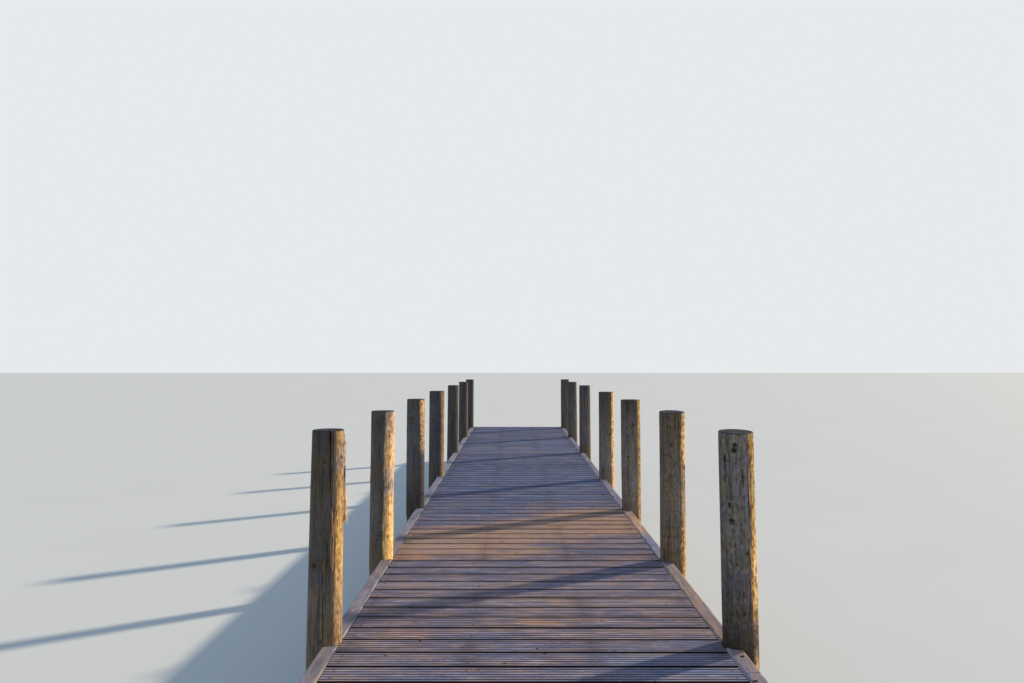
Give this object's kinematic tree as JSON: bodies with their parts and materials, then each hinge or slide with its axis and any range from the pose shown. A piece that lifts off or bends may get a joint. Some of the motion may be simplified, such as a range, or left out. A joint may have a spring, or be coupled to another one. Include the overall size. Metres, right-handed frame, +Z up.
{
  "type": "wooden jetty",
  "caption": "Straight timber jetty: a ribbed board deck with kerbs, on joists and twin cross bearers between two rows of round piles that stand above the deck.",
  "frame": {"origin": "under the middle of the deck, centred between the two rows of piles, on the level of the pile feet, where the piles meet the water", "axes": "+Y along the deck from the shore end to the lake end, +X to the right of someone walking out along it, +Z up"},
  "size_m": [2.2684, 12.457, 1.7188],
  "materials": {
    "pile_log": "weathered round log, bark stripped, checked and knotty",
    "deck_board": "weathered ribbed softwood board, grey brown",
    "kerb_timber": "weathered sawn timber, worn pale on the edges",
    "frame_timber": "damp weathered sawn timber, dark brown",
    "fixing_steel": "dull galvanised steel with rust stains"
  },
  "bodies": {
    "root": {"pile_left_1": "pile_log", "pile_left_2": "pile_log", "pile_left_3": "pile_log", "pile_left_4": "pile_log", "pile_left_5": "pile_log", "pile_left_6": "pile_log", "pile_left_7": "pile_log", "pile_right_1": "pile_log", "pile_right_2": "pile_log", "pile_right_3": "pile_log", "pile_right_4": "pile_log", "pile_right_5": "pile_log", "pile_right_6": "pile_log", "pile_right_7": "pile_log", "cross_bearers_1": "frame_timber", "cross_bearers_2": "frame_timber", "cross_bearers_3": "frame_timber", "cross_bearers_4": "frame_timber", "cross_bearers_5": "frame_timber", "cross_bearers_6": "frame_timber", "cross_bearers_7": "frame_timber", "joist_outer_left": "frame_timber", "joist_inner_left": "frame_timber", "joist_inner_right": "frame_timber", "joist_outer_right": "frame_timber", "deck_boards_shore": "deck_board", "deck_boards_bay_1": "deck_board", "deck_boards_bay_2": "deck_board", "deck_boards_bay_3": "deck_board", "deck_boards_bay_4": "deck_board", "deck_boards_bay_5": "deck_board", "deck_boards_bay_6": "deck_board", "kerb_left": "kerb_timber", "kerb_right": "kerb_timber", "fascia_shore": "frame_timber", "fascia_lake": "frame_timber"}
  },
  "joints": []
}
